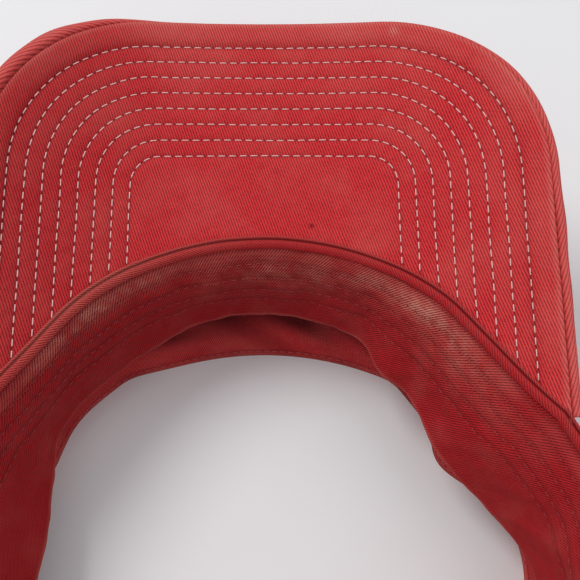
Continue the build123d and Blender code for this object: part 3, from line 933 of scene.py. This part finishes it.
def sweat_grid(polar, share, depth):
    """Sweatband surface: share 0 at the seam and 1 at the free edge, depth behind its face."""
    z = wall_seam(polar, SWEAT_TOP_INSET) + 0.9
    top = wall_point(polar, z, SWEAT_TOP_INSET)
    low, inwards = free_edge(polar)
    inward = raised(inwards, 0.0)
    fall = unit(low - top)
    face = unit(inward - fall * np.sum(inward * fall, axis=1, keepdims=True))
    s = ring_length(polar)
    grid = top[:, None] + (low - top)[:, None] * share[..., None]
    q, sc = np.broadcast_arrays(share, s[:, None])
    width = np.linalg.norm(low - top, axis=1)[:, None]
    belly = 2.4 * np.sin(pi * q) + 0.8 * np.sin(2 * pi * q)
    crease = 1.0 * ripple(sc, q * 34, 30, 71) + 0.4 * ripple(sc, q * 60, 13, 72)
    held = np.sin(pi * np.clip(q * 0.8, 0, 1)) ** 0.7
    offset = belly + crease * held - 0.16 * sweat_rows(q * width) - depth
    _, seam_inwards = SEAM.spots(polar, 0.0)
    tangent = raised(pair(-seam_inwards[:, 1], seam_inwards[:, 0]), 0.0)
    lean = np.sum(fall * tangent, axis=1, keepdims=True)
    return grid + face[:, None] * offset[..., None], q * width, sc + q * width * lean


HEM_ROWS = 5
HEM_REACH = 1.2                # the rounded free edge hangs this far below the two faces


def rounded_hem(face, back):
    """Rows that round the free edge over, from the face to the back."""
    turn = np.radians(np.linspace(60, -60, HEM_ROWS))[:, None]
    middle = (face[:, -1:] + back[:, -1:]) / 2
    down = unit(face[:, -1:] - face[:, -3:-2])
    across = (face[:, -1:] - back[:, -1:]) / 2
    return middle + across * np.sin(turn) + down * (HEM_REACH * np.cos(turn))


def add_sweatband(part):
    polar = stations(part)
    count = int(36 / CELL)
    share = np.linspace(0, 1, count)
    face, h, weft = sweat_grid(polar, share[None, :], 0.0)
    back, _, _ = sweat_grid(polar, share[None, :], SWEAT_THICK)
    hem = rounded_hem(face, back)
    grid = np.concatenate([face, hem, back[:, ::-1]], axis=1)
    s = ring_length(polar)[:, None]
    width = h[:, -1:]
    hem_h = width + np.linspace(0.5, 2.5, HEM_ROWS)
    all_h = np.concatenate([h, hem_h, h[:, ::-1] + 3], axis=1)
    sc = np.broadcast_to(s, all_h.shape)
    front_side = np.concatenate([np.ones_like(h), np.ones_like(hem_h), np.zeros_like(h)], axis=1)
    pol = np.broadcast_to(polar[:, None], all_h.shape)
    # Painted highlight, with wear, on the sweatband's upper fold just below the tape; a lighter line
    # along the free edge's hem.
    fade = 0.2 * bump(all_h, 3.5, 2.6) + 0.6 * bump(all_h, width + 0.6, 0.9)
    fade = fade + 0.12 * ripple(sc, all_h * 2, 22, 81)
    grime = sum(amount * bump(pol, at, wide) * bump(all_h, low, deep)
                for amount, at, wide, low, deep in STAINS)
    grime = grime * (0.75 + 0.4 * ripple(sc, all_h * 1.5, 14, 82) + 0.3 * ripple(sc, all_h, 4, 83))
    rows_seen = 0.12 + 0.14 * smooth(np.abs(pol), 20, 60)
    shade = rows_seen * sweat_rows(all_h) + 0.12 + 0.2 * bump(pol, -50, 70)
    shade = shade + 0.22 * bump(pol, 6, 26) * bump(all_h, 9, 8)
    extra = {"fade": np.clip(fade * front_side, 0, 1), "grime": np.clip(grime * front_side, 0, 1),
             "shade": np.clip(shade, 0, 1)}
    uv = pair(np.concatenate([weft, weft[:, -1:] + 0 * hem_h, weft[:, ::-1]], axis=1), all_h)
    piece = add_tube(f"sweatband_{part}_cloth", grid, SWEAT_TWILL, uv, extra, caps=free_ends(part))
    stand_in(piece, f"sweatband_{part}", part=part)


def add_sweat_core(part):
    polar = stations(part)
    share = np.linspace(0.08, 0.92, 30)
    face, h, _ = sweat_grid(polar, share[None, :], SWEAT_CORE[0])
    back, _, _ = sweat_grid(polar, share[None, :], SWEAT_CORE[1])
    uv = pair(ring_length(polar)[:, None], h)
    piece = closed_sheet(f"sweatband_core_{part}_foam", face, back, FOAM, uv)
    stand_in(piece, f"sweatband_core_{part}", part=part)


def add_sweat_rows(part):
    polar = stations(part)
    low, _ = free_edge(polar)
    z = wall_seam(polar, SWEAT_TOP_INSET)
    width = np.linalg.norm(low - wall_point(polar, z, SWEAT_TOP_INSET), axis=1)
    runs = []
    for row in range(SWEAT_ROWS):
        share = ((SWEAT_FIRST_ROW + row * SWEAT_ROW_SPACING) / width)[:, None]
        line, _, _ = sweat_grid(polar, share, -0.02)
        above, _, _ = sweat_grid(polar, share, -1.02)
        runs.append((line[:, 0], above[:, 0] - line[:, 0]))
    name = f"sweatband_stitch_{part}"
    piece = add_stitches(f"{name}_threads", runs, DARK_THREAD, 3.2, fill=0.62, radius=0.17, lift=0.08)
    stand_in(piece, name, part=part)


# Round the tape's section: depth in from the band's outer face, height above the seam.
TAPE_SECTION = [(-0.1, -0.3), (-0.35, 0.5), (0.0, 1.35), (0.55, 1.7), (1.05, 1.35), (1.3, 0.95),
                (1.7, 1.3), (2.4, 1.55), (3.1, 1.35), (3.7, 0.85), (4.1, 0.3), (4.2, -0.4),
                (3.4, -1.0), (2.0, -0.2), (0.8, -0.2)]
TAPE_VALLEY = 1.3              # depth of the stitched valley


def softened(loop):
    """A closed line with twice the points and its corners rounded."""
    fine = np.stack([loop, (loop + np.roll(loop, -1, axis=0)) / 2], axis=1).reshape(-1, 2)
    return (np.roll(fine, 1, axis=0) + 2 * fine + np.roll(fine, -1, axis=0)) / 4


def add_binding(part):
    """Tape over the seam: a piped roll outside, a stitched valley and a flat band."""
    polar = stations(part)
    z = wall_seam(polar, 0.0)
    fine = softened(np.array(TAPE_SECTION))
    _, inwards = SEAM.spots(polar, 0.0)
    s = ring_length(polar)
    wobble = 0.12 * ripple(s, 0 * s, 18, 91)
    foot = wall_point(polar, z, 0.0)
    inward = raised(inwards, 0.0)
    up = np.array([0.0, 0.0, 1.0])
    grid = foot[:, None] + inward[:, None] * (fine[:, 0] + wobble[:, None])[..., None]
    grid = grid + up * (fine[:, 1] + wobble[:, None] * 0.6)[..., None]
    sc, h = np.broadcast_arrays(s[:, None], np.arange(len(fine)) * 0.45)
    depth = np.broadcast_to(fine[:, 0], sc.shape)
    high = np.broadcast_to(fine[:, 1], sc.shape)
    fade = 0.3 * bump(depth, 0.4, 0.6) * (high > 0.8) + 0.1 * bump(depth, 2.5, 0.9) * (high > 0.8)
    grime = 0.3 * bump(np.broadcast_to(polar[:, None], sc.shape), -50, 30)
    shade = 0.12 + 0.8 * bump(depth, TAPE_VALLEY, 0.35)
    extra = {"fade": np.clip(fade, 0, 1), "shade": shade, "grime": grime}
    name = f"seam_binding_{part}"
    uv = pair(sc, h)
    piece = add_tube(f"{name}_tape", grid, BINDING_TWILL, uv, extra, caps=free_ends(part))
    stand_in(piece, name, part=part)


# ---- closure

def back_radius(z, depth):
    share = z / WALL_TOP
    return CROWN_EDGE.back_radius * (1 - share) + SEAM.back_radius * share - depth


def back_point(angle, z, depth):
    spot = turned(angle, back_radius(z, depth), (0.0, PIVOT_Y))
    return raised(spot, z)


def add_strap():
    """Flat woven strap, sewn to the right side band and led through the clasp."""
    first, last = STRAP_ENDS
    middle, half = sum(STRAP_Z) / 2, (STRAP_Z[1] - STRAP_Z[0]) / 2
    angle = np.linspace(first, last, 180)
    share = np.linspace(-1, 1, 24)
    tip = np.sqrt(np.clip(1 - ((first + 3.5 - angle) / 3.5).clip(0) ** 2 * 0.75, 0, 1))
    z = middle + half * share * tip[:, None]
    angles = np.broadcast_to(angle[:, None], z.shape)
    soft = 0.25 * (1 - np.abs(share) ** 6)
    sewn = smooth(angle, STRAP_SEWN - 1.5, STRAP_SEWN)[:, None]
    outer = back_point(angles, z, STRAP_DEPTH[0] + 0.2 - soft + 0.25 * sewn)
    inner = back_point(angles, z, STRAP_DEPTH[1] - 0.25 + soft + 0.75 * sewn)
    s = np.radians(angles) * 102.0
    fade = 0.35 * bump(np.abs(share), 1.0, 0.12) * np.ones_like(z)
    piece = closed_sheet("size_strap_cloth", outer, inner, STRAP_TWILL, pair(s, z), {"fade": fade})
    stand_in(piece, "size_strap", body="right_band")


def add_box_stitch():
    """Square of stitches that holds the strap's sewn end."""
    first, last = STRAP_SEWN + 0.8, STRAP_ENDS[1] - 1.2
    low, high = STRAP_Z[0] + 1.8, STRAP_Z[1] - 1.8
    corners = [(first, low), (last, low), (last, high), (first, high), (first, low)]
    path = np.concatenate([np.linspace(a, b, 40) for a, b in zip(corners, corners[1:])])
    line = back_point(path[:, 0], path[:, 1], STRAP_DEPTH[0] + 0.18)
    outward = raised(turned(path[:, 0], 1.0), 0.0)
    piece = add_stitches("strap_box_threads", [(line, outward)], RED_THREAD, pitch=2.6)
    stand_in(piece, "strap_box_stitch", "right_band")


def loop_path(z_low, z_high, out, inside, corner, count=48):
    """Rounded rectangle of (height, depth) pairs round the strap."""
    centres = [(z_low + corner, out + corner), (z_high - corner, out + corner),
               (z_high - corner, inside - corner), (z_low + corner, inside - corner)]
    starts = (180, 270, 0, 90)
    points = []
    for (z, depth), start in zip(centres, starts):
        for a in np.radians(np.linspace(start, start + 90, count // 4)):
            points.append((z + corner * cos(a), depth + corner * sin(a)))
    return np.array(points)


def add_keeper():
    """Narrow cloth loop that keeps the strap's free tail flat."""
    outer = loop_path(STRAP_Z[0] - 1.5, STRAP_Z[1] + 1.5, STRAP_DEPTH[0] - 1.5, 0.0, 1.4)
    inner = loop_path(STRAP_Z[0] - 0.8, STRAP_Z[1] + 0.8, STRAP_DEPTH[0] - 0.8, -0.2, 0.8)
    first, last = KEEPER_ANGLES
    share = np.linspace(0, 1, 14)
    crown = 0.25 * (1 - (2 * share - 1) ** 4)
    angles = first + (last - first) * share
    points, uvs = [], []
    for loop, sign in ((outer, -1), (inner, 1)):
        order = slice(None) if sign < 0 else slice(None, None, -1)
        z = np.broadcast_to(loop[:, 0], (len(share), len(loop)))[order]
        depth = (loop[:, 1] + sign * crown[:, None] * 0.5)[order]
        angle = np.broadcast_to(angles[:, None], z.shape)[order]
        points.append(back_point(angle, z, depth))
        uvs.append(pair(angle * 1.75, run_length(loop)))
    grid = np.concatenate(points, axis=0).transpose(1, 0, 2)
    uv = np.concatenate(uvs, axis=0).transpose(1, 0, 2)
    closed = np.concatenate([grid, grid[:1]], axis=0)
    closed_uv = np.concatenate([uv, uv[-1:]], axis=0)
    worn = {"fade": 0.15}
    piece = add_tube("strap_keeper_cloth", closed, STRAP_TWILL, closed_uv, worn, caps=(False, False))
    stand_in(piece, "strap_keeper", body="left_band")


def clasp_axes():
    """Origin and axes on the middle of the strap: along it, up the lean and outwards."""
    middle = sum(STRAP_Z) / 2
    radius = back_radius(middle, sum(STRAP_DEPTH) / 2)
    spot = turned(CLASP_ANGLE, radius, (0.0, PIVOT_Y))
    lean = unit(np.array([SEAM.back_radius - CROWN_EDGE.back_radius, WALL_TOP]))
    a = radians(CLASP_ANGLE)
    outward = np.array([sin(a) * lean[1], cos(a) * lean[1], -lean[0]])
    along = np.array([-cos(a), sin(a), 0.0])
    return np.array([spot[0], spot[1], middle]), along, np.cross(outward, along), outward


# The clasp's cloth loop, along the strap and outwards from the clasp's origin.
LOOP_RUN = (14.4, 10.9)        # from the sewn tails to the fold
LOOP_OUT = -3.7
LOOP_HALF_GAP = 0.95
LOOP_HALF_WIDTH = 8.9
LOOP_PLY = 0.8


def add_clasp_loop():
    """Folded cloth loop through the clasp's window, sewn into the left band's end."""
    origin, along, across, outward = clasp_axes()
    straight = np.linspace(*LOOP_RUN, 14)
    bend = np.radians(np.linspace(90, 270, 13))
    fold = LOOP_RUN[1] + LOOP_HALF_GAP * np.cos(bend), LOOP_OUT + LOOP_HALF_GAP * np.sin(bend)
    path = np.concatenate([pair(straight, LOOP_OUT + LOOP_HALF_GAP), pair(*fold),
                           pair(straight[::-1], LOOP_OUT - LOOP_HALF_GAP)])
    normal = -inwards_of(path)
    rim = np.linspace(0, 2 * pi, 28, endpoint=False)
    section_y = LOOP_HALF_WIDTH * squared_off(np.cos(rim), 0.5)
    section_n = LOOP_PLY / 2 * squared_off(np.sin(rim), 0.8)
    flat = path[:, None] + normal[:, None] * section_n[:, None]
    grid = origin + flat[..., :1] * along + flat[..., 1:] * outward + section_y[:, None] * across
    length = run_length(path)[:, None]
    piece = add_tube("clasp_loop_cloth", grid, STRAP_TWILL, pair(length, section_y))
    stand_in(piece, "clasp_loop", body="left_band")


def finish_cad_nodes():
    """Materials of the CAD parts whose shape is right as it is."""
    wanted = {"clasp_frame": BRASS, "clasp_pin": BRASS, "clasp_lever": BRASS, "brim_board": BOARD}
    for name, material in wanted.items():
        node = frame["nodes"][name]
        node.data.materials.clear()
        node.data.materials.append(material)


# ---- floor, light and camera

def add_floor():
    size = 4.0
    n = Nodes("pale_table")
    cloud = n.noise(n.place(), 3.0, 3.0)
    n.put("Base Color", n.mix(cloud, srgb(226, 224, 223), srgb(234, 232, 231)))
    n.put("Roughness", 0.6)
    mesh = bpy.data.meshes.new("floor")
    corners = [(-size, -size, 0), (size, -size, 0), (size, size, 0), (-size, size, 0)]
    mesh.from_pydata(corners, [], [(0, 1, 2, 3)])
    mesh.materials.append(n.material)
    floor = add_object("floor", mesh)


def add_area(name, at, size, power, aim=(0, 0, 0.03)):
    data = bpy.data.lights.new(name, "AREA")
    data.shape = "DISK"
    data.size = size
    data.energy = power
    lamp = add_object(name, data)
    lamp.location = at
    way = np.array(aim) - np.array(at)
    yaw = atan2(way[1], way[0])
    pitch = atan2(hypot(way[0], way[1]), -way[2])
    lamp.rotation_euler = (pitch, 0, yaw - pi / 2)


def add_lights():
    world = bpy.data.worlds.new("studio")
    world.use_nodes = True
    background = world.node_tree.nodes["Background"]
    background.inputs["Color"].default_value = srgb(236, 240, 246)
    background.inputs["Strength"].default_value = 0.67
    bpy.context.scene.world = world
    add_area("key_light", (-1.3, 0.8, 2.1), 1.2, 31.0)
    add_area("fill_light", (1.2, 0.6, 1.8), 1.6, 6.0)


def add_camera():
    """Looks down over the band at the brim, from where the photographer stood."""
    data = bpy.data.cameras.new("camera")
    data.sensor_width = 36.0
    data.lens = 49.66
    data.shift_x = 0.0443
    camera = add_object("camera", data)
    camera.location = to_frame((0.0, -57.4, 286.3))
    camera.rotation_euler = (radians(24.63), 0.0, 0.0)
    bpy.context.scene.camera = camera


add_under_cover()
add_upper_cover()
add_edge_fold()
add_brim_rows()
for part in BODY:
    lining = LINING if part == "front" else SIDE_LINING
    add_wall_layer("shell", part, SHELL, SHELL_TWILL)
    add_wall_layer("lining", part, lining, LINING_TWILL)
    add_hem_stitches(part, lining[1])
    add_sweatband(part)
    add_sweat_core(part)
    add_sweat_rows(part)
    add_binding(part)
add_wall_layer("buckram", "front", BUCKRAM, BUCKRAM_CLOTH)
add_strap()
add_box_stitch()
add_keeper()
add_clasp_loop()
finish_cad_nodes()
add_floor()
add_lights()
add_camera()
bpy.context.scene.view_settings.view_transform = "Standard"
